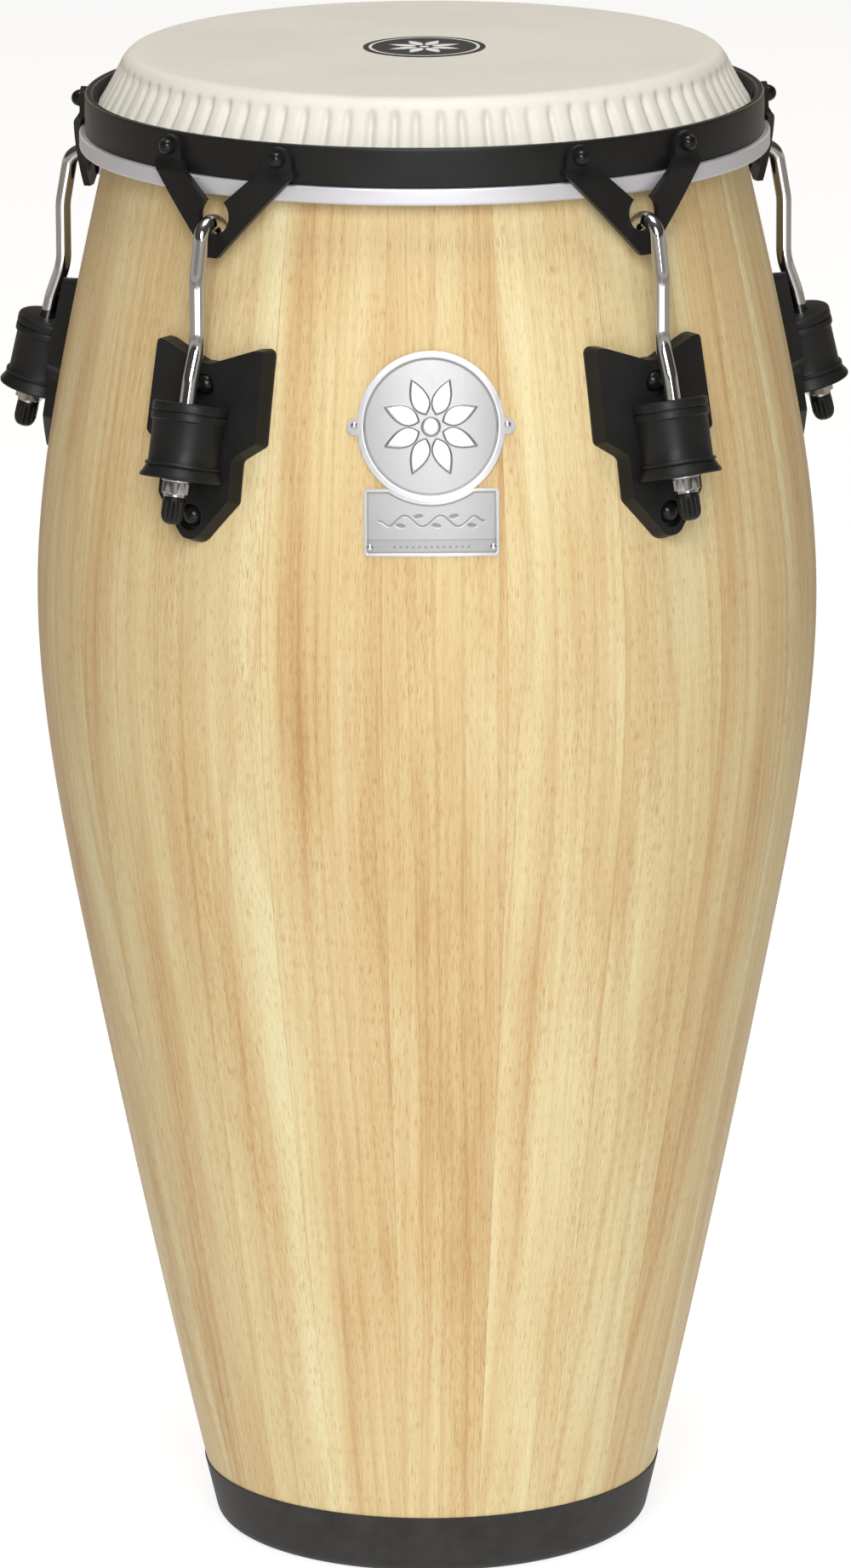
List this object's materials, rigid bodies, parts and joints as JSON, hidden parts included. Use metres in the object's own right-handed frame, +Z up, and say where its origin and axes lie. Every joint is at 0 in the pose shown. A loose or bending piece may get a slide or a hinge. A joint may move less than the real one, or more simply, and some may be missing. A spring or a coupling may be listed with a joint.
{
  "type": "conga drum",
  "caption": "Stave-built conga drum with a belly, a rubber foot ring, a collared synthetic head and hook-and-nut tuning lugs.",
  "frame": {"origin": "the drum's axis at floor level, in the plane of the rubber foot's underside", "axes": "+Z up along the drum's axis, -Y the side the badge faces, +X to the right seen from the badge side"},
  "size_m": [0.431, 0.4218, 0.7623],
  "materials": {
    "shell_wood": "clear satin lacquer over pale rubberwood",
    "foot_rubber": "matte black rubber",
    "skin": "cream synthetic drum skin",
    "head_print": "black print",
    "hoop_metal": "satin pale aluminium",
    "black_coating": "satin black powder coat",
    "black_casting": "fine-grained black powder coat on a casting",
    "chrome": "polished chrome",
    "cap_plastic": "black moulded plastic",
    "zinc_steel": "zinc-plated steel",
    "badge_metal": "stamped, bright satin metal"
  },
  "bodies": {
    "shell": {"stave_01": "shell_wood", "stave_02": "shell_wood", "stave_03": "shell_wood", "stave_04": "shell_wood", "stave_05": "shell_wood", "stave_06": "shell_wood", "stave_07": "shell_wood", "stave_08": "shell_wood", "stave_09": "shell_wood", "stave_10": "shell_wood", "stave_11": "shell_wood", "stave_12": "shell_wood", "stave_13": "shell_wood", "stave_14": "shell_wood", "stave_15": "shell_wood", "stave_16": "shell_wood", "stave_17": "shell_wood", "stave_18": "shell_wood", "stave_19": "shell_wood", "stave_20": "shell_wood", "foot_ring": "foot_rubber", "lug_bracket_1": "black_casting", "lug_bracket_2": "black_casting", "lug_bracket_3": "black_casting", "lug_bracket_4": "black_casting", "lug_bracket_5": "black_casting", "nut_washers": "zinc_steel", "bracket_gaskets": "foot_rubber", "bracket_bolts": "black_coating", "backing_plates": "zinc_steel", "bolt_washers": "zinc_steel", "bolt_nuts": "zinc_steel", "badge_disc": "badge_metal", "badge_plate": "badge_metal", "badge_pins": "badge_metal"},
    "crown": {"drum_head": "skin", "head_label": "head_print", "flesh_hoop": "hoop_metal", "tension_ring": "black_coating", "ring_rivets": "black_coating", "ring_plate_1": "black_coating", "ring_plate_2": "black_coating", "ring_plate_3": "black_coating", "ring_plate_4": "black_coating", "ring_plate_5": "black_coating"},
    "hook_1": {"tuning_hook_1": "chrome"},
    "tuner_1": {"tuning_nut_1": "chrome", "nut_cap_1": "cap_plastic"},
    "hook_2": {"tuning_hook_2": "chrome"},
    "tuner_2": {"tuning_nut_2": "chrome", "nut_cap_2": "cap_plastic"},
    "hook_3": {"tuning_hook_3": "chrome"},
    "tuner_3": {"tuning_nut_3": "chrome", "nut_cap_3": "cap_plastic"},
    "hook_4": {"tuning_hook_4": "chrome"},
    "tuner_4": {"tuning_nut_4": "chrome", "nut_cap_4": "cap_plastic"},
    "hook_5": {"tuning_hook_5": "chrome"},
    "tuner_5": {"tuning_nut_5": "chrome", "nut_cap_5": "cap_plastic"}
  },
  "joints": [
    {"name": "crown_lift", "type": "slide", "parent": "shell", "child": "crown", "axis": [0, 0, 1], "range_m": [0, 0.01]},
    {"name": "hook_1_travel", "type": "slide", "parent": "shell", "child": "hook_1", "axis": [-0.1422, 0.1957, 0.9703], "range_m": [0, 0.01035]},
    {"name": "nut_1_turn", "type": "hinge", "parent": "shell", "child": "tuner_1", "pos_m": [0.1212, -0.16682, 0.593], "axis": [0.1422, -0.1957, -0.9703], "range_deg": [0, 2970]},
    {"name": "hook_2_travel", "type": "slide", "parent": "shell", "child": "hook_2", "axis": [-0.2301, -0.0748, 0.9703], "range_m": [0, 0.01035]},
    {"name": "nut_2_turn", "type": "hinge", "parent": "shell", "child": "tuner_2", "pos_m": [0.19611, 0.06372, 0.593], "axis": [0.2301, 0.0748, -0.9703], "range_deg": [0, 2970]},
    {"name": "hook_3_travel", "type": "slide", "parent": "shell", "child": "hook_3", "axis": [0, -0.2419, 0.9703], "range_m": [0, 0.01035]},
    {"name": "nut_3_turn", "type": "hinge", "parent": "shell", "child": "tuner_3", "pos_m": [0, 0.2062, 0.593], "axis": [0, 0.2419, -0.9703], "range_deg": [0, 2970]},
    {"name": "hook_4_travel", "type": "slide", "parent": "shell", "child": "hook_4", "axis": [0.2301, -0.0748, 0.9703], "range_m": [0, 0.01035]},
    {"name": "nut_4_turn", "type": "hinge", "parent": "shell", "child": "tuner_4", "pos_m": [-0.19611, 0.06372, 0.593], "axis": [-0.2301, 0.0748, -0.9703], "range_deg": [0, 2970]},
    {"name": "hook_5_travel", "type": "slide", "parent": "shell", "child": "hook_5", "axis": [0.1422, 0.1957, 0.9703], "range_m": [0, 0.01035]},
    {"name": "nut_5_turn", "type": "hinge", "parent": "shell", "child": "tuner_5", "pos_m": [-0.1212, -0.16682, 0.593], "axis": [-0.1422, -0.1957, -0.9703], "range_deg": [0, 2970]}
  ],
  "couplings": [
    {"joint": "hook_1_travel", "follows": "crown_lift", "ratio": 1.0306},
    {"joint": "nut_1_turn", "follows": "crown_lift", "rad_per_m": 5180.4},
    {"joint": "hook_2_travel", "follows": "crown_lift", "ratio": 1.0306},
    {"joint": "nut_2_turn", "follows": "crown_lift", "rad_per_m": 5180.4},
    {"joint": "hook_3_travel", "follows": "crown_lift", "ratio": 1.0306},
    {"joint": "nut_3_turn", "follows": "crown_lift", "rad_per_m": 5180.4},
    {"joint": "hook_4_travel", "follows": "crown_lift", "ratio": 1.0306},
    {"joint": "nut_4_turn", "follows": "crown_lift", "rad_per_m": 5180.4},
    {"joint": "hook_5_travel", "follows": "crown_lift", "ratio": 1.0306},
    {"joint": "nut_5_turn", "follows": "crown_lift", "rad_per_m": 5180.4}
  ]
}
